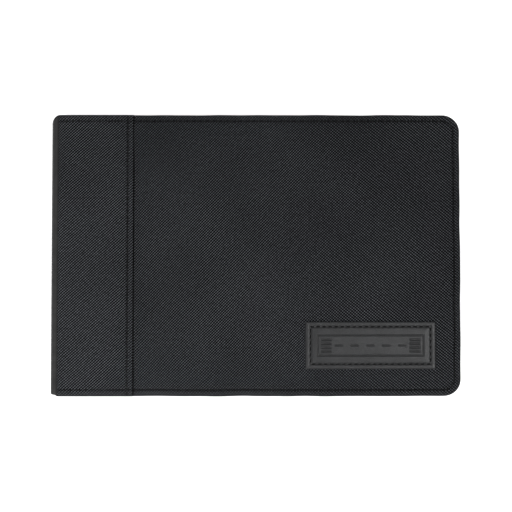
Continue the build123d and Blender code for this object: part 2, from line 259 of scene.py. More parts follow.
def coated_spine():
    """Smooth coated cloth of the spine roll, with a faint fine weave and soft scuffs."""
    shader = Shader("spine_cloth", roughness=0.55, specular=0.15)
    place = shader.cloth_mm()
    weave = shader.times(shader.wave(place, (2.2, 0.0)), shader.wave(place, (0.0, 2.2)))
    clouds = shader.noise(place, 0.22, 4.0, 0.6)
    level = shader.math("MULTIPLY_ADD", weave, 0.3, shader.span(clouds, 0.3, 0.7, 0.0, 0.6))
    shader.colour(level, grey(0.014, 0), grey(0.03, 0))
    shader.bump(shader.math("MULTIPLY_ADD", clouds, 0.6, weave), 0.05)
    shader.sheen(0.05, 0.4)
    return shader.material


def plain_weave(name, dark, light, pitch=0.55):
    """Fine plain-woven lining cloth."""
    shader = Shader(name, roughness=0.66, specular=0.3)
    place = shader.jitter(shader.cloth_mm(), 0.5, 0.18)
    warp = shader.wave(place, (1 / pitch, 0.0))
    weft = shader.wave(place, (0.0, 1 / pitch))
    over = shader.times(warp, weft)
    under = shader.times(shader.math("SUBTRACT", 1.0, warp), shader.math("SUBTRACT", 1.0, weft))
    height = shader.math("ADD", over, under)
    clouds = shader.noise(place, 0.08, 3.0)
    level = shader.times(height, shader.span(clouds, 0.3, 0.7, 0.6, 1.1))
    shader.colour(level, dark, light)
    shader.bump(height, 0.06)
    shader.sheen(0.1, 0.5)
    return shader.material


def leather():
    """Pressed leather: fine pebbled grain, faint creases, cloudy colour, darker in the pressed figure, with
    painted shade in the stitch grooves.
    """
    shader = Shader("patch_leather", roughness=0.36, specular=0.3)
    place = shader.jitter(shader.place_mm(), 0.6, 0.5)
    cells = shader.node("TexVoronoi", {"Vector": place, "Scale": 1.5}, feature="DISTANCE_TO_EDGE").outputs[0]
    pebble = shader.span(cells, 0.0, 0.22, smooth=True)
    pores = shader.noise(place, 4.5, 3.0, 0.6)
    clouds = shader.noise(place, 0.09, 3.0, 0.55)
    creases = shader.noise(place, 0.5, 5.0, 0.7, 1.2)
    pressed = shader.pressed()
    level = shader.math("MULTIPLY_ADD", pebble, 0.25, shader.span(clouds, 0.3, 0.7, 0.2, 0.75))
    level = shader.times(level, shader.span(pores, 0.3, 0.7, 0.8, 1.15))
    # darker in the pressed figure, which is the leather's own colour, and painted shade in the stitch
    # grooves
    level = shader.times(level, shader.span(pressed, 0.0, 1.0, 1.0, 0.1))
    shader.colour(level, grey(0.004), grey(0.0145))
    shader.surface_is({"Roughness": shader.span(pores, 0.3, 0.7, 0.25, 0.37)})
    height = shader.math("MULTIPLY_ADD", pebble, 0.5, shader.times(creases, 0.7))
    shader.bump(height, 0.05)
    return shader.material


def thread(name, level):
    """Bonded sewing thread with a visible twist."""
    shader = Shader(name, roughness=0.5, specular=0.1)
    place = shader.place_mm()
    twist = shader.wave(place, (1.9, 1.9))
    fibres = shader.noise(place, 5.0, 2.0)
    shader.colour(shader.times(twist, fibres), grey(level), grey(level * 2.6))
    shader.bump(twist, 0.06)
    return shader.material


TABLE_START_Y = -200.0          # rows are counted from here, beyond the sheet
TABLE_HALF_Y = 63.2
ROW_LINE = 0.018                # half the width of a row's line, as a share of the row pitch
COLUMN_LINE = 0.13              # half the width of a column's line


def ruled(shader, place, rows_mm, columns):
    """1 on the printed lines of a table: rows at an even pitch between two rules, and given columns."""
    split = shader.node("SeparateXYZ", {"Vector": place})
    x, y = split.outputs[0], split.outputs[1]

    def within(value, centre, reach):
        away = shader.math("ABSOLUTE", shader.math("SUBTRACT", value, centre))
        return shader.math("LESS_THAN", away, reach)

    phase = shader.math("FRACT", shader.math("DIVIDE", shader.math("SUBTRACT", y, TABLE_START_Y), rows_mm))
    lines = within(phase, 0.5, ROW_LINE)
    for column in columns:
        lines = shader.math("MAXIMUM", lines, within(x, column, COLUMN_LINE))
    middle = (columns[0] + columns[-1]) / 2
    half = (columns[-1] - columns[0]) / 2
    inside_y = shader.math("LESS_THAN", shader.math("ABSOLUTE", y), TABLE_HALF_Y)
    inside_x = within(x, middle, half + COLUMN_LINE)
    return shader.times(lines, shader.times(inside_x, inside_y))


def paper(name, base, columns, rows_mm, ink):
    """Uncoated paper with fibres, slightly uneven from sheet to sheet, and a printed table."""
    shader = Shader(name, roughness=0.85, specular=0.25)
    place = shader.place_mm()
    fibres = shader.noise(place, 2.2, 5.0, 0.7)
    flattened = shader.node("Mapping", {"Vector": place, "Scale": (0.05, 0.05, 9.0)}).outputs[0]
    layers = shader.noise(flattened, 1.0, 2.0)
    tone = shader.math("MULTIPLY_ADD", fibres, 0.4, shader.times(layers, 0.6))
    dark = tuple(channel * 0.86 for channel in base[:3]) + (1.0,)
    sheet_colour = shader.blend_colour(tone, dark, base)
    shader.colour(ruled(shader, place, rows_mm, columns), sheet_colour, ink)
    shader.bump(fibres, 0.02)
    return shader.material


def card():
    """Blue-grey divider card with a fine speckle."""
    shader = Shader("divider_card", roughness=0.75, specular=0.3)
    place = shader.place_mm()
    speckle = shader.span(shader.noise(place, 3.0, 4.0, 0.7), 0.35, 0.65)
    shader.colour(speckle, (0.19, 0.26, 0.33, 1), (0.27, 0.35, 0.42, 1))
    shader.bump(speckle, 0.03)
    return shader.material


def board():
    """Grey pulp board."""
    shader = Shader("grey_board", roughness=0.9, specular=0.2)
    place = shader.place_mm()
    pulp = shader.noise(place, 1.4, 5.0, 0.7)
    shader.colour(pulp, (0.2, 0.19, 0.17, 1), (0.42, 0.4, 0.36, 1))
    shader.bump(pulp, 0.08)
    return shader.material


def nickel(name, roughness, scratch):
    """Plated steel with faint drawing lines and fingerprints."""
    shader = Shader(name, roughness=roughness, metallic=1.0)
    place = shader.place_mm()
    stretched = shader.node("Mapping", {"Vector": place, "Scale": (9.0, 0.35, 9.0)}).outputs[0]
    lines = shader.noise(stretched, 1.0, 3.0, 0.6)
    smudges = shader.noise(place, 0.12, 3.0, 0.6)
    shader.colour(smudges, (0.4, 0.39, 0.38, 1), (0.58, 0.57, 0.56, 1))
    shader.surface_is({"Roughness": shader.span(smudges, 0.3, 0.7, roughness, roughness + 0.16)})
    shader.bump(lines, scratch)
    return shader.material


# ---- mesh building ----
def make_piece(name, points, faces, cloth=None, pressed=None, smooth=True):
    """A mesh object from points in millimetres, with two UV maps: flat cloth, and how pressed."""
    mesh = bpy.data.meshes.new(name)
    mesh.from_pydata([Vector(point) * MM for point in points], [], faces)
    if cloth is not None:
        layer = mesh.uv_layers.new(name="cloth")
        for loop in mesh.loops:
            layer.data[loop.index].uv = cloth[loop.vertex_index]
    if pressed is not None:
        layer = mesh.uv_layers.new(name="pressed")
        for loop in mesh.loops:
            layer.data[loop.index].uv = (pressed[loop.vertex_index], 0.5)
    mesh.polygons.foreach_set("use_smooth", [smooth] * len(mesh.polygons))
    mesh.update()
    piece = bpy.data.objects.new(name, mesh)
    bpy.context.scene.collection.objects.link(piece)
    return piece


def finish_piece(piece, material, body=None, replaces=()):
    """Gives a piece its material, the body it rides on and the nodes it stands for."""
    piece.data.materials.append(material)
    if replaces:
        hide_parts(*replaces)
    if body:
        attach(piece, body)


def strip_faces(rows, columns, flip=False, wrap=False):
    """Quads between neighbouring points of a grid that is stored row by row."""
    faces = []
    for row in range(rows - 1):
        for column in range(columns if wrap else columns - 1):
            beside = (column + 1) % columns
            quad = (
                row * columns + column,
                row * columns + beside,
                (row + 1) * columns + beside,
                (row + 1) * columns + column,
            )
            faces.append(quad[::-1] if flip else quad)
    return faces


def outline(low, high, radii, step=1.0, open_left=False, soften=0.5):
    """ring(inset): a rectangle's outline with rounded corners, or its three sides away from low x.
    Its corners are rounder further in by the share soften, so that a padded top has no mitred creases."""
    half = min(high[1] - low[1], (high[0] - low[0]) * (2 if open_left else 1)) / 2
    corners = (
        (low[0], low[1], -1, -1, radii[0], 180),
        (high[0], low[1], 1, -1, radii[1], 270),
        (high[0], high[1], 1, 1, radii[2], 0),
        (low[0], high[1], -1, 1, radii[3], 90),
    )
    used = corners[1:3] if open_left else corners

    def corner_points(corner, inset):
        corner_x, corner_y, side_x, side_y, radius, start = corner
        count = max(3, round(radius * pi / 2 / step))
        turn = max(radius - inset, min(soften * inset, 0.8 * (half - inset)), 0.0)
        reach = inset + turn
        points = []
        for index in range(count + 1):
            angle = radians(start + 90 * index / count)
            x = corner_x - side_x * reach + turn * cos(angle)
            points.append((x, corner_y - side_y * reach + turn * sin(angle)))
        return points

    def stops(inset):
        made = [corner_points(corner, inset) for corner in used]
        if open_left:
            return [[(low[0], low[1] + inset)], *made, [(low[0], high[1] - inset)]]
        return [*made, made[0][:1]]

    at_edge = stops(0.0)
    counts = [
        max(1, round(hypot(b[0][0] - a[-1][0], b[0][1] - a[-1][1]) / step))
        for a, b in zip(at_edge, at_edge[1:])
    ]

    def ring(inset):
        made = stops(inset)
        points = []
        for first, second, count in zip(made, made[1:], counts):
            points += first
            (x0, y0), (x1, y1) = first[-1], second[0]
            for index in range(1, count):
                share = index / count
                points.append((x0 + (x1 - x0) * share, y0 + (y1 - y0) * share))
        return points + made[-1] if open_left else points

    return ring


def lengths_along(points):
    """Distance from the first point to each point of a path."""
    total = [0.0]
    for a, b in zip(points, points[1:]):
        total.append(total[-1] + (Vector(b) - Vector(a)).length)
    return total


def groove(inset, line, along, pitch, depth=GROOVE_DEPTH):
    """How far a row of stitches pulls the cloth down, most at the needle holes."""
    pull = depth * (1 + 0.4 * cos(2 * pi * along / pitch))
    return pull * exp(-(((inset - line) / GROOVE_WIDTH) ** 2))


RIPPLE_SCALE = 0.05             # waves of the padded faces and of the sewn edges, per millimetre
SWAY_SCALE = 0.07
RIPPLE_FADE = 8.0               # the ripple starts at the edge and is full this far in


def ring_skin(ring, profile, closed, up=1, stitch=None, ripple=0.0, seed=0):
    """Skin that follows a profile of (inset, height) round an outline, filled inside the last inset."""
    developed = [profile[-1][0]]
    for (d0, z0), (d1, z1) in reversed(list(zip(profile, profile[1:]))):
        developed.insert(0, developed[0] - hypot(d1 - d0, z1 - z0))
    line, pitch = stitch or (0.0, 1.0)
    along = lengths_along([(*point, 0.0) for point in ring(line)])
    points, cloth, pressed = [], [], []
    for (inset, height), flat_inset in zip(profile, developed):
        for index, ((x, y), flat) in enumerate(zip(ring(inset), ring(flat_inset))):
            sunk = groove(flat_inset, line, along[index], pitch) if stitch else 0.0
            z = height - up * sunk
            if ripple:
                wave = noise.noise(Vector((x * RIPPLE_SCALE, y * RIPPLE_SCALE, seed)))
                z += up * ripple * wave * min(1.0, max(flat_inset, 0.0) / RIPPLE_FADE)
                place = Vector((x * SWAY_SCALE, y * SWAY_SCALE, seed))
                x += EDGE_SWAY * noise.noise(place + Vector((0, 0, 20.5)))
                y += EDGE_SWAY * noise.noise(place + Vector((0, 0, 40.5)))
            points.append((x, y, z))
            cloth.append(flat)
            pressed.append(sunk / GROOVE_DEPTH)
    columns = len(ring(0.0))
    faces = strip_faces(len(profile), columns, flip=up < 0, wrap=closed)
    last = list(range((len(profile) - 1) * columns, len(profile) * columns))
    faces.append(last if up > 0 else last[::-1])
    return points, faces, cloth, pressed


def end_wrap(length):
    """Half of the path across a strip's end: along the inside, round the end, and on to the outside.
    Each stop is (y, depth), where depth is 0 on the outside and 1 on the inside."""
    round_end = ((1.2, 1.0), (0.5, 0.95), (0.12, 0.8), (0.0, 0.6), (0.0, 0.35), (0.25, 0.1), (0.9, 0.015))
    return [(length - TURN_IN, 0.98)] + [(length - back, depth) for back, depth in round_end]


def even_steps(start, end, step):
    """Places from start to end, about one step apart."""
    count = max(1, round(abs(end - start) / step))
    return [start + (end - start) * index / count for index in range(count + 1)]


STRIP_STEP = 1.0                # mesh step along a strip, and the finer one near its ends
STRIP_END_STEP = 0.35


def wrapped_strip(section, half_length, relief=None):
    """Cloth over a strip of board: section is a list of (outer, inner) points in x and z, from the
    fore-edge side towards the spine; the cloth runs along y and turns in round both ends."""
    ends = end_wrap(half_length)
    flat, plain = half_length - 1.8, half_length - 6.0
    stops = even_steps(flat, plain, STRIP_END_STEP)
    stops += even_steps(plain, -plain, STRIP_STEP)[1:-1]
    stops += even_steps(-plain, -flat, STRIP_END_STEP)
    path = [*ends, *[(y, 0.0) for y in stops], *[(-y, depth) for y, depth in reversed(ends)]]
    thickness = (Vector(section[0][0]) - Vector(section[0][1])).length
    walk = lengths_along([(y, depth * thickness, 0.0) for y, depth in path])
    across = lengths_along([(*outer, 0.0) for outer, inner in section])
    points, cloth, pressed = [], [], []
    for (y, depth), distance in zip(path, walk):
        for (outer, inner), start in zip(section, across):
            x = outer[0] + (inner[0] - outer[0]) * depth
            z = outer[1] + (inner[1] - outer[1]) * depth
            push = relief(x, y) * (1 - 2 * depth) if relief and depth < 0.5 else 0.0
            if push:
                lean = Vector((outer[0] - inner[0], outer[1] - inner[1])).normalized()
                x += lean.x * push
                z += lean.y * push
            points.append((x, y, z))
            cloth.append((section[0][0][0] - start, walk[-1] / 2 - distance))
            pressed.append(-push / GROOVE_DEPTH)
    return points, strip_faces(len(path), len(section)), cloth, pressed


def turned_over(skin):
    """The same skin on the back cover: mirrored in the middle height of the book."""
    points, faces, *maps = skin
    return [(x, y, MIRROR_SUM - z) for x, y, z in points], [face[::-1] for face in faces], *maps


# ---- stitches ----
def stitch_row(name, path, pitch, facing, body, seed, radius=STITCH_RADIUS):
    """A row of stitches along a path: each is a short arched thread that dives into the cloth.
    The cloth faces up where facing is 1 and down where it is -1."""
    random = Random(seed)
    total = lengths_along(path)
    count = max(1, round(total[-1] / pitch))
    pitch = total[-1] / count
    sides, segments = 6, 6
    up = Vector((0, 0, facing))
    points, faces = [], []

    def at(distance):
        distance = min(max(distance, 0.0), total[-1])
        index = next((k for k in range(1, len(total)) if total[k] >= distance), len(total) - 1)
        share = (distance - total[index - 1]) / max(total[index] - total[index - 1], 1e-9)
        return Vector(path[index - 1]).lerp(Vector(path[index]), share)

    for number in range(count):
        middle = (number + 0.5) * pitch
        half = pitch * STITCH_FILL / 2 * random.uniform(0.93, 1.05)
        start, end = at(middle - half), at(middle + half)
        along = (end - start).normalized()
        side = up.cross(along)
        skew = side * random.uniform(-0.09, 0.09)
        first = len(points)
        for step in range(segments + 1):
            share = step / segments
            arch = 1 - (2 * share - 1) ** 4
            centre = start.lerp(end, share) + skew * (2 * share - 1) * 2
            centre += up * (arch * (radius + STITCH_RISE) - radius * 0.9)
            thick = radius * (0.55 + 0.45 * arch) * random.uniform(0.96, 1.04)
            for turn in range(sides):
                angle = 2 * pi * turn / sides
                points.append(centre + (side * cos(angle) + up * sin(angle)) * thick)
        tube = strip_faces(segments + 1, sides, wrap=True)
        faces += [tuple(first + corner for corner in face) for face in tube]
        faces.append(tuple(first + turn for turn in range(sides))[::-1])
        faces.append(tuple(first + segments * sides + turn for turn in range(sides)))
    finish_piece(make_piece(name, points, faces), THREAD, body)


# ---- materials ----
PANEL_TWILL = twill("twill", (0.635, -0.608), (0.474, 0.585), grey(0.0005), grey(0.094))
BAND_TWILL = twill("twill_band", (0.568, -0.628), (0.525, 0.578), grey(0.0006), grey(0.108))
SPINE_CLOTH = coated_spine()
LINING = plain_weave("lining", grey(0.012), grey(0.045))
POCKET = plain_weave("pocket_cloth", grey(0.01), grey(0.035), 0.8)
LEATHER = leather()
THREAD = thread("thread", 0.0012)
BOARD = board()
LOG_COLUMNS = (-86, -66, -44, -22, -2, 14, 30, 46, 62, 78, 102)
PAPER = paper("paper", (0.8, 0.77, 0.68, 1), LOG_COLUMNS, 7.0, (0.25, 0.34, 0.3, 1))
TITLE_PAPER = paper("title_paper", (0.8, 0.77, 0.69, 1), (-60, 76), 21.0, (0.12, 0.14, 0.2, 1))
DIVIDER = card()
PLATE_METAL = nickel("plated_steel", 0.28, 0.015)
RING_METAL = nickel("ring_wire", 0.16, 0.006)


# ---- covers ----
def cover_profile(inner, top, up):
    """Section of a main panel, (inset, height): turned in at the inside, round the edge, to the middle."""
    turned = ((TURN_IN, 0.3), (2.2, 0.16), (1.0, 0.1), (0.35, 0.3), (0.05, 0.8), (0.0, 1.5))
    rounded = ((0.05, -0.8), (0.28, -0.35), (0.75, -0.07), (1.4, 0.06), (2.2, 0.09), (2.8, 0.09))
    stitched = [(inset, 0.09) for inset in (3.2, 3.5, 3.7, 3.9, 4.2)]
    padded = ((4.6, 0.1), (5.4, 0.12), (7.0, 0.14), (10.0, 0.15), (15.0, 0.14), (22.0, 0.12))
    padded += ((32.0, 0.1), (46.0, 0.08))
    profile = [(inset, inner + up * rise) for inset, rise in turned]
    return profile + [(inset, top + up * rise) for inset, rise in (*rounded, *stitched, *padded)]


def front_panel():
    """Main panel of the front cover, tucked under the lapped band."""
    ring = outline((BAND_X - 3, -EDGE_Y), (FORE_X, EDGE_Y), (0, CORNER_R, CORNER_R, 0), open_left=True)
    stitch = (EDGE_STITCH_INSET, EDGE_STITCH_PITCH)
    profile = cover_profile(INSIDE_TOP, PANEL_TOP, 1)
    skin = ring_skin(ring, profile, False, stitch=stitch, ripple=0.12, seed=3)
    piece = make_piece("front_cover_shell", *skin)
    finish_piece(piece, PANEL_TWILL, "front_cover", ["front_cover_fabric"])
    line = [(x, y) for x, y in ring(EDGE_STITCH_INSET) if x > BAND_X - 0.5]
    path = [(x, y, PANEL_TOP - STITCH_BED) for x, y in line]
    stitch_row("front_edge_stitches", path, EDGE_STITCH_PITCH, 1, "front_cover", seed=11)
    path = [(x, y, INSIDE_TOP + INNER_STITCH_BED) for x, y in line]
    stitch_row("front_edge_stitches_inside", path, EDGE_STITCH_PITCH, -1, "front_cover", seed=12)


def back_panel():
    """Main panel of the back cover, level with the band so that the book lies flat."""
    low = (BAND_X - BUTT_OVERLAP, -EDGE_Y)
    ring = outline(low, (FORE_X, EDGE_Y), (0.6, CORNER_R, CORNER_R, 0.6))
    stitch = (EDGE_STITCH_INSET, EDGE_STITCH_PITCH)
    profile = cover_profile(INSIDE_LOW, CROWN, -1)
    skin = ring_skin(ring, profile, True, up=-1, stitch=stitch, ripple=0.03, seed=5)
    piece = make_piece("back_cover_shell", *skin)
    finish_piece(piece, PANEL_TWILL, "back_cover", ["back_cover_fabric"])
    path = [(x, y, CROWN + STITCH_BED) for x, y in ring(EDGE_STITCH_INSET)]
    path = [point for point in path if point[0] > BACK_LOW.x + EDGE_STITCH_INSET + 0.5]
    gaps = [(Vector(point) - Vector(path[index - 1])).length for index, point in enumerate(path)]
    start = gaps.index(max(gaps))               # the row starts after the side that isn't stitched
    path = path[start:] + path[:start]
    stitch_row("back_edge_stitches", path, EDGE_STITCH_PITCH, -1, "back_cover", seed=13)


def band_section():
    """Section of the lapped band, from its folded edge on the main panel back to the spine groove."""
    folded = ((0.06, -0.68), (0.0, -0.5), (0.1, -0.24), (0.4, -0.06), (0.9, 0.02), (1.7, 0.04), (2.3, 0.03))
    stitched = [(back, 0.02) for back in (2.7, 3.05, 3.4, 3.75, 4.1, 4.6, 5.4, 7.0, 10.0, 16.0, 24.0, 32.0)]
    grooved = ((3.5, 0.0), (2.2, -0.03), (1.4, -0.16), (0.8, -0.42), (0.35, -0.8), (0.0, -1.2))
    tops = [(BAND_X - back, BAND_TOP + rise) for back, rise in (*folded, *stitched)]
    tops += [(HINGE_X + ahead, BAND_TOP + rise) for ahead, rise in grooved]
    return [((x, z), (x, INSIDE_TOP + 0.15)) for x, z in tops]


def band_relief(x, y):
    """Stitch grooves in the band: along the seam, and along the head and tail edges."""
    seam = groove(BAND_X - x, SEAM_STITCH_INSET, y, SEAM_STITCH_PITCH)
    edge = groove(EDGE_Y - abs(y), EDGE_STITCH_INSET, x, EDGE_STITCH_PITCH)
    return -max(seam, edge)


BAND_OVERHANG = 0.12            # how far band and roll stand past the edges of the main panels
SPINE_OVERHANG = 0.1
BAND_STITCH_START = 2.4         # the band's edge stitches run from the spine groove to the folded edge
BAND_STITCH_STOP = 0.6


def bands():
    """The wrap where it laps over both covers, with its seam and edge stitches."""
    skin = wrapped_strip(band_section(), EDGE_Y + BAND_OVERHANG, band_relief)
    front = make_piece("front_band_shell", *skin)
    finish_piece(front, BAND_TWILL, "front_cover", ["front_wrap_band"])
    back = make_piece("back_band_shell", *turned_over(skin))
    finish_piece(back, BAND_TWILL, "back_cover", ["back_wrap_band"])
    seam_x, edge_y = BAND_X - SEAM_STITCH_INSET, EDGE_Y - EDGE_STITCH_INSET
    start_x, stop_x = HINGE_X + BAND_STITCH_START, BAND_X - BAND_STITCH_STOP
    lines = {
        "seam": ((seam_x, -edge_y + 0.4), (seam_x, edge_y - 0.4), SEAM_STITCH_PITCH),
        "band_tail": ((start_x, -edge_y), (stop_x, -edge_y), EDGE_STITCH_PITCH),
        "band_head": ((start_x, edge_y), (stop_x, edge_y), EDGE_STITCH_PITCH),
    }
    covers = (
        ("front_cover", 1, BAND_TOP - BAND_STITCH_BED),
        ("back_cover", -1, MIRROR_SUM - BAND_TOP + BAND_STITCH_BED),
    )
    for seed, (name, (start, end, pitch)) in enumerate(lines.items(), 21):
        for cover, facing, z in covers:
            path = [(*start, z), (*end, z)]
            stitch_row(f"{cover}_{name}_stitches", path, pitch, facing, cover, seed=seed)


SPINE_HEAD_CUT = 3.2            # the roll is drawn in at its ends, more at the head than at the tail
SPINE_TAIL_CUT = 0.9
SPINE_TUCK_CUT = 1.2            # the part tucked under the band is shorter still


def spine_section():
    """Section of the spine roll: tucked under the band, up over the fold and down to mid-height."""
    roll = (
        (0.9, 2.2), (0.3, 2.3), (-0.1, 2.5), (-0.55, 2.85), (-1.1, 3.12), (-1.75, 3.15), (-2.4, 2.9),
        (-3.0, 2.4), (-3.45, 1.75), (-3.75, 1.0), (-3.92, 0.2),
    )
    section = [((HINGE_X + dx, INSIDE_TOP + dz), (HINGE_X - 0.05, INSIDE_TOP)) for dx, dz in roll]
    middle = MIRROR_SUM / 2
    for z in even_steps(INSIDE_TOP - 0.7, middle, 2.0):
        bulge = 0.16 * sin(pi * (z - middle) / (INSIDE_TOP - middle))
        section.append(((SPINE_X - 0.06 - bulge, z), (HINGE_X - 0.3, z)))
    return section


def bend(piece):
    """Bakes a piece's transform into its mesh."""
    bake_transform(piece)


def spine():
    """Cover of the spine, in two halves that each bend over one fold line."""
    points, faces, *maps = wrapped_strip(spine_section(), EDGE_Y + SPINE_OVERHANG)
    shaped = []
    for x, y, z in points:
        out = min(1.0, max(0.0, (HINGE_X - x) / (HINGE_X - SPINE_X)))
        cut = SPINE_HEAD_CUT * out**1.6 if y > 0 else SPINE_TAIL_CUT * min(1.0, 2.5 * out)
        if x > HINGE_X:
            cut += SPINE_TUCK_CUT
        shaped.append((x, y * (1 - cut / EDGE_Y), z))
    skin = (shaped, faces, *maps)
    front = make_piece("spine_cover_front_half", *skin)
    finish_piece(front, SPINE_CLOTH, replaces=["spine_wrap", "front_spine_fold"])
    bend(front)
    back = make_piece("spine_cover_back_half", *turned_over(skin))
    finish_piece(back, SPINE_CLOTH, replaces=["back_spine_fold"])
    bend(back)


# ---- inside of the covers ----
LINING_INSET = 2.2
LINING_STITCH = (EDGE_STITCH_INSET - LINING_INSET, EDGE_STITCH_PITCH)


def lining_sheet(up, face_z):
    """Lining of one cover, glued over the turned-in cloth and stitched through near its edge."""
    radius = CORNER_R - LINING_INSET
    low = (HINGE_X + 0.6, -EDGE_Y + LINING_INSET)
    high = (FORE_X - LINING_INSET, EDGE_Y - LINING_INSET)
    ring = outline(low, high, (0, radius, radius, 0), open_left=True)
    profile = [(0.0, -0.16), (0.04, -0.04), (0.3, 0.0)]
    profile += [(inset, 0.0) for inset in (0.8, 1.15, 1.5, 1.85, 2.2, 2.8, 5.0, 12.0)]
    profile = [(inset, face_z + up * rise) for inset, rise in profile]
    skin = ring_skin(ring, profile, False, up=up, stitch=LINING_STITCH)
    path = [(x, y, face_z - up * STITCH_BED) for x, y in ring(LINING_STITCH[0])]
    return skin, path


def corner_strip():
    """Cloth in the inside corner between the spine and the front cover."""
    corner = ((3.0, -0.03), (1.6, -0.03), (0.8, -0.06), (0.3, -0.22), (0.06, -0.6))
    corner += ((0.02, -1.2), (0.02, -2.4))
    places = [(HINGE_X + dx, INSIDE_TOP + dz) for dx, dz in corner]
    section = [((x, z), (x - 0.1, z + 0.12)) for x, z in places]
    points, faces, *maps = wrapped_strip(section, EDGE_Y - 3.0)
    return points, [face[::-1] for face in faces], *maps


def linings():
    """Linings of both covers and of the spine, and the cloth in the two inside corners."""
    for cover, node, up, z in (
        ("front_cover", "front_lining", -1, INSIDE_TOP),
        ("back_cover", "back_lining", 1, INSIDE_LOW),
    ):
        skin, path = lining_sheet(up, z)
        finish_piece(make_piece(node + "_sheet", *skin), LINING, cover, [node])
        stitch_row(node + "_stitches", path, EDGE_STITCH_PITCH, up, cover, seed=31)
    section = [((HINGE_X, z), (HINGE_X - 0.4, z)) for z in even_steps(INSIDE_LOW + 1, INSIDE_TOP - 1, 3.0)]
    piece = make_piece("spine_lining_sheet", *wrapped_strip(section, EDGE_Y - 3.9))
    finish_piece(piece, LINING, "spine", ["spine_lining"])
    front = make_piece("front_corner_lining", *corner_strip())
    finish_piece(front, LINING)
    bend(front)
    back = make_piece("back_corner_lining", *turned_over(corner_strip()))
    finish_piece(back, LINING)
    bend(back)


POCKET_RIM = 0.36               # height of the sewn rim, as a share of the pocket's depth


def pocket(name, node, body, up):
    """A flat pocket, sewn on three sides and open towards the spine, with a bound mouth."""
    low, high = box_mm(node)
    base, top = (low.z, high.z) if up > 0 else (high.z, low.z)
    depth = abs(top - base)
    ring = outline(low.xy, high.xy, (0, 3, 3, 0), open_left=True)
    rises = [(0.0, 0.06), (0.05, 0.25), (0.4, 0.34)]
    rises += [(inset, POCKET_RIM) for inset in (0.9, 1.25, 1.6, 1.95)]
    rises += [(2.4, 0.38), (3.4, 0.5), (5.0, 0.72), (8.0, 0.9), (14.0, 0.98), (24.0, 1.0)]
    profile = [(inset, base + up * depth * rise) for inset, rise in rises]
    stitch = (POCKET_STITCH_INSET, EDGE_STITCH_PITCH)
    piece = make_piece(name, *ring_skin(ring, profile, False, up=up, stitch=stitch))
    finish_piece(piece, POCKET, body, [node])
    path = [(x, y, base + up * (depth * POCKET_RIM - STITCH_BED)) for x, y in ring(stitch[0])]
    stitch_row(name + "_stitches", path, stitch[1], up, body, seed=41, radius=POCKET_STITCH_RADIUS)
    binding(name + "_binding", low, high, base, top, up, body)


def binding(name, low, high, base, top, up, body):
    """Folded tape round the mouth of a pocket."""
    thick = 0.16
    face = top - up * thick
    tape = ((6.0, 0.1), (5.7, thick), (0.4, thick), (0.05, 0.05), (0.0, -0.15), (0.15, -0.3), (5.7, -0.3))
    section = [(x, face + up * rise) for x, rise in tape]
    points, cloth = [], []
    stops = even_steps(low.y + 4.0, high.y - 4.0, 2.0)
    lift = up * (abs(top - base) * 0.6)
    ends = [(low.y + 0.6, -lift), *[(y, 0.0) for y in stops], (high.y - 0.6, -lift)]
    for y, drop in ends:
        for x, z in section:
            points.append((low.x + x, y, z + drop))
            cloth.append((x, y))
    faces = strip_faces(len(ends), len(section), flip=up > 0)
    finish_piece(make_piece(name, points, faces, cloth), LINING, body)


# ---- leather patch ----
EMBLEM_HALF = (31.0, 6.2)       # a plain runway figure: border, threshold bars, dashed centre line
EMBLEM_LINE = 0.7
EMBLEM_DEPTH = 0.3
EMBLEM_EDGE = 0.3               # width of its soft edges
EMBLEM_BAR_LENGTH = 6.0
EMBLEM_BAR_GAP = 1.6            # between the border and the bars
PATCH_STEP = 0.28               # mesh step inside the stitches
PATCH_SINK = 0.12               # how far the sewing draws the patch down
PATCH_SWELL = 0.18              # how far it swells inside the stitches, and over what width
PATCH_SWELL_WIDTH = 4.5
PATCH_WAVE = 0.05               # unevenness of the leather
PATCH_STITCH_BED = 0.36


def block_depth(x, y, centre, half):
    """1 inside a rectangle, 0 outside, with a soft pressed edge between."""
    outside = max(abs(x - centre[0]) - half[0], abs(y - centre[1]) - half[1])
    return min(1.0, max(0.0, 0.5 - outside / EMBLEM_EDGE))


def emblem_depth(x, y):
    """How deep the runway figure is pressed at a place on the patch."""
    inner = (EMBLEM_HALF[0] - EMBLEM_LINE, EMBLEM_HALF[1] - EMBLEM_LINE)
    depth = block_depth(x, y, (0, 0), EMBLEM_HALF) - block_depth(x, y, (0, 0), inner)
    bar_pitch = 2 * inner[1] / 5
    bar_x = inner[0] - EMBLEM_BAR_GAP - EMBLEM_BAR_LENGTH / 2
    for row in (-1.5, -0.5, 0.5, 1.5):
        bar_half = (EMBLEM_BAR_LENGTH / 2, bar_pitch / 4)
        depth = max(depth, block_depth(abs(x), y, (bar_x, row * bar_pitch), bar_half))
    dash_pitch = (2 * inner[0] - 4 * EMBLEM_BAR_LENGTH) / 4
    for index in range(-2, 3):
        depth = max(depth, block_depth(x, y, (index * dash_pitch, 0), (dash_pitch / 4, EMBLEM_LINE / 2)))
    return depth


def patch_stops(half):
    """Places across the patch and the height of its rim at each: (place, height below the top)."""
    rim = ((0.0, 1.15), (0.0, 0.5), (0.12, 0.2), (0.4, 0.05), (0.9, 0.0), (1.6, 0.0))
    line = [(PATCH_STITCH_INSET + offset, 0.0) for offset in (-0.9, -0.5, -0.25, 0.0, 0.25, 0.5, 0.9)]
    side = [(half - inset, drop) for inset, drop in (*rim, *line)]
    inside = half - PATCH_STITCH_INSET - 1.3
    middle = [(place, 0.0) for place in even_steps(-inside, inside, PATCH_STEP)]
    return [(-place, drop) for place, drop in side] + middle + side[::-1]


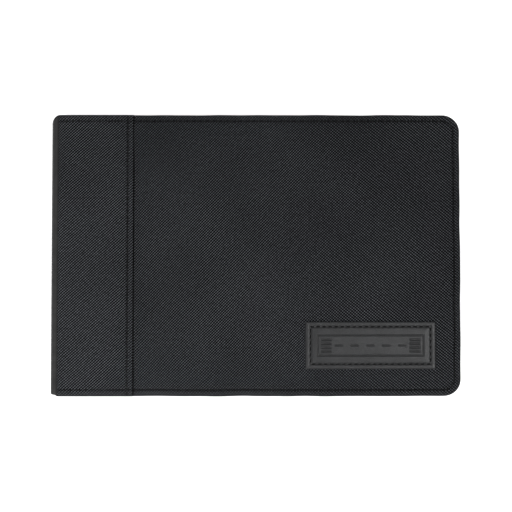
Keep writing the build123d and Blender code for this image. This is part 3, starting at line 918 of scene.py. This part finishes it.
def leather_patch():
    """Patch with pressed figure, stitched down all round so that it swells between the stitches."""
    centre = (PATCH_LOW + PATCH_HIGH) / 2
    half = (PATCH_HIGH - PATCH_LOW) / 2
    columns, rows = patch_stops(half.x), patch_stops(half.y)
    points, pressed = [], []
    for y, drop_y in rows:
        for x, drop_x in columns:
            inset_x, inset_y = half.x - abs(x), half.y - abs(y)
            inset = min(inset_x, inset_y)
            along = x if inset_y < inset_x else y
            sunk = groove(inset, PATCH_STITCH_INSET, along, PATCH_STITCH_PITCH, PATCH_GROOVE_DEPTH)
            swell = min(1.0, max(0.0, inset - PATCH_STITCH_INSET) / PATCH_SWELL_WIDTH)
            z = PATCH_HIGH.z - PATCH_SINK - max(drop_x, drop_y) - sunk + PATCH_SWELL * swell * (2 - swell)
            emblem = emblem_depth(x, y)
            z -= EMBLEM_DEPTH * emblem
            z += PATCH_WAVE * noise.noise(Vector((x * 0.12, y * 0.12, 5.0)))
            points.append((centre.x + x, centre.y + y, z))
            # the stitch grooves stored here get painted shade in the leather; the pressed figure gets its
            # own darker colour
            pressed.append(max(emblem, sunk / GROOVE_DEPTH))
    faces = strip_faces(len(rows), len(columns))
    piece = make_piece("leather_patch_pressed", points, faces, pressed=pressed)
    finish_piece(piece, LEATHER, "front_cover", ["leather_patch"])
    ring = outline(PATCH_LOW.xy, PATCH_HIGH.xy, (0.01,) * 4, soften=0)
    path = [(x, y, PATCH_HIGH.z - PATCH_STITCH_BED) for x, y in ring(PATCH_STITCH_INSET)]
    path.append(path[0])
    stitch_row("patch_stitches", path, PATCH_STITCH_PITCH, 1, "front_cover", seed=51)


# ---- pages ----
HOLE_R = 3.0
HOLE_MARGIN = 11.2
HOLE_SIDES = 20
SHEET_CORNERS = (0.4, 2.5, 2.5, 0.4)
SHEET_SHARE = 0.8               # a sheet's share of the pitch in a stack; the rest is air
SHEET_SHIFT = (0.22, 0.3)       # how far a sheet lies out of line, along x and y
TAB_LENGTH = 24.0
TAB_REACH = 5.5
RING_YS = [
    (low.y + high.y) / 2 for low, high in map(box_mm, ("left_ring_half_tail", "left_ring_half_head"))
]


def leaf(low, high, tab, shift, z_low, z_high):
    """Points and faces of one punched leaf, with both sides and all edges, and a tab if one is given."""
    x0, x1 = low.x + shift[0], high.x - (tab[2] if tab else 0.0) + shift[0]
    y0, y1 = low.y + shift[1], high.y + shift[1]
    ring = outline((x0, y0), (x1, y1), SHEET_CORNERS, step=300)
    loop = ring(0.0)
    if tab:
        tab_low, tab_high, reach = tab
        corners = [(x1, tab_low), (x1 + reach - 1.5, tab_low + 0.4), (x1 + reach, tab_low + 2)]
        corners += [(x, tab_low + tab_high - y) for x, y in corners[::-1]]
        index = next(k for k, (x, y) in enumerate(loop) if x > x1 - 0.01 and y > tab_low)
        loop = loop[:index] + corners + loop[index:]
    hole_x = low.x + HOLE_MARGIN
    turns = [-2 * pi * k / HOLE_SIDES for k in range(HOLE_SIDES)]
    holes = []
    for ring_y in RING_YS:
        holes.append([(hole_x + HOLE_R * cos(turn), ring_y + HOLE_R * sin(turn)) for turn in turns])
    loops = [loop, *holes]
    flat = [point for one in loops for point in one]
    triangles = tessellate_polygon([[Vector((x, y, 0)) for x, y in one] for one in loops])
    count = len(flat)
    points = [(x, y, z_low) for x, y in flat] + [(x, y, z_high) for x, y in flat]
    faces = []
    for a, b, c in triangles:
        turn = (Vector(flat[b]) - Vector(flat[a])).cross(Vector(flat[c]) - Vector(flat[a]))
        a, b, c = (a, b, c) if turn > 0 else (a, c, b)
        faces += [(a + count, b + count, c + count), (c, b, a)]
    first = 0
    for one in loops:
        for index in range(len(one)):
            here, beside = first + index, first + (index + 1) % len(one)
            faces.append((here, beside, beside + count, here + count))
        first += len(one)
    return points, faces


def stack(name, node, body, count, material, tab=None, seed=0):
    """A block of loose leaves, each a little out of line with the next."""
    low, high = box_mm(node)
    random = Random(seed)
    pitch = (high.z - low.z) / count
    points, faces = [], []
    for number in range(count):
        shift = (0.0, 0.0)
        if count > 1:
            shift = tuple(random.uniform(-most, most) for most in SHEET_SHIFT)
        z = low.z + number * pitch
        made, sides = leaf(low, high, tab, shift, z, z + pitch * (SHEET_SHARE if count > 1 else 1.0))
        faces += [tuple(corner + len(points) for corner in side) for side in sides]
        points += made
    finish_piece(make_piece(name, points, faces, smooth=False), material, body, [node])


def pages():
    """Blocks of log sheets, the two dividers and the title sheet."""
    blocks = (
        ("log_sheets_back", "back_cover", 14),
        ("log_sheets_middle", "back_cover", 14),
        ("log_sheets_front", "turned_pages", 12),
    )
    for seed, (node, body, count) in enumerate(blocks):
        stack(node + "_stack", node, body, count, PAPER, seed=seed)
    stack("title_sheet_leaf", "title_sheet", "turned_pages", 2, TITLE_PAPER, seed=7)
    for node, body in (("divider_back", "back_cover"), ("divider_front", "turned_pages")):
        tab_low = -56.0 if node == "divider_back" else -8.0
        tab = (tab_low, tab_low + TAB_LENGTH, TAB_REACH)
        stack(node + "_card", node, body, 1, DIVIDER, tab=tab, seed=8)


front_panel()
back_panel()
bands()
spine()
linings()
pocket("front_document_pocket_sewn", "front_document_pocket", "front_cover", -1)
pocket("licence_card_pocket_sewn", "licence_card_pocket", "front_cover", -1)
pocket("back_document_pocket_sewn", "back_document_pocket", "back_cover", 1)
leather_patch()
pages()

# ---- carried-over nodes ----
NODE_MATERIALS = (
    (BOARD, ("front_board", "back_board", "spine_board")),
    (PLATE_METAL, ("ring_base_plate", "ring_rivets", "left_leaf", "right_leaf", "head_lever", "tail_lever")),
    (RING_METAL, (
        "head_lever_pin", "tail_lever_pin", "left_ring_half_head", "left_ring_half_tail",
        "right_ring_half_head", "right_ring_half_tail",
    )),
)
for material, node_names in NODE_MATERIALS:
    for node_name in node_names:
        mesh = frame["nodes"][node_name].data
        mesh.materials.clear()
        mesh.materials.append(material)


# ---- floor, light and camera ----
FLOOR_GAP = 0.3                 # keeps the floor clear of the stitches under the book


def floor():
    """Plain pale light table just under the book."""
    bpy.ops.mesh.primitive_plane_add(size=6, location=(0, 0, CAD_BOX[0].z - FLOOR_GAP * MM))
    plane = bpy.context.object
    plane.name = "floor"
    shader = Shader("floor_white", roughness=0.9, specular=0.1)
    speck = shader.noise(shader.place_mm(), 0.02, 2.0)
    shader.colour(speck, (0.93, 0.93, 0.93, 1), (0.95, 0.95, 0.95, 1))
    shader.surface_is({"Emission Color": (1, 1, 1, 1), "Emission Strength": 0.4})
    plane.data.materials.append(shader.material)


def area_light(name, place, size, power):
    """Soft light aimed at the book, with its place and size in metres and its power in watts."""
    data = bpy.data.lights.new(name, "AREA")
    data.shape = "DISK"
    data.size = size
    data.energy = power
    lamp = bpy.data.objects.new(name, data)
    lamp.location = place
    lamp.rotation_euler = (-Vector(place)).to_track_quat("-Z", "Y").to_euler()
    bpy.context.scene.collection.objects.link(lamp)


def camera():
    """Straight down on the front cover, from a little towards the tail."""
    distance = 950.0
    tilt = radians(3.2)
    pixels_per_mm = 1.7199
    width_pixels = 512
    target = Vector((0.2, -0.65, BAND_TOP))
    direction = Vector((0, -sin(tilt), cos(tilt)))
    data = bpy.data.cameras.new("camera")
    data.sensor_width = 36.0
    data.lens = pixels_per_mm * distance / width_pixels * data.sensor_width
    made = bpy.data.objects.new("camera", data)
    made.location = (target + direction * distance) * MM
    made.rotation_mode = "QUATERNION"
    made.rotation_quaternion = (-direction).to_track_quat("-Z", "Y")
    bpy.context.scene.collection.objects.link(made)
    bpy.context.scene.camera = made


def world():
    """Even white surroundings."""
    made = bpy.data.worlds.new("world")
    made.use_nodes = True
    background = made.node_tree.nodes["Background"]
    background.inputs["Color"].default_value = (1, 1, 1, 1)
    background.inputs["Strength"].default_value = 0.72
    bpy.context.scene.world = made


floor()
area_light("key_light", (-0.32, -0.46, 0.45), 0.35, 3.6)
area_light("sheen_light", (0.46, -0.06, 1.25), 0.26, 5.5)
camera()
world()
bpy.context.scene.view_settings.view_transform = "Standard"
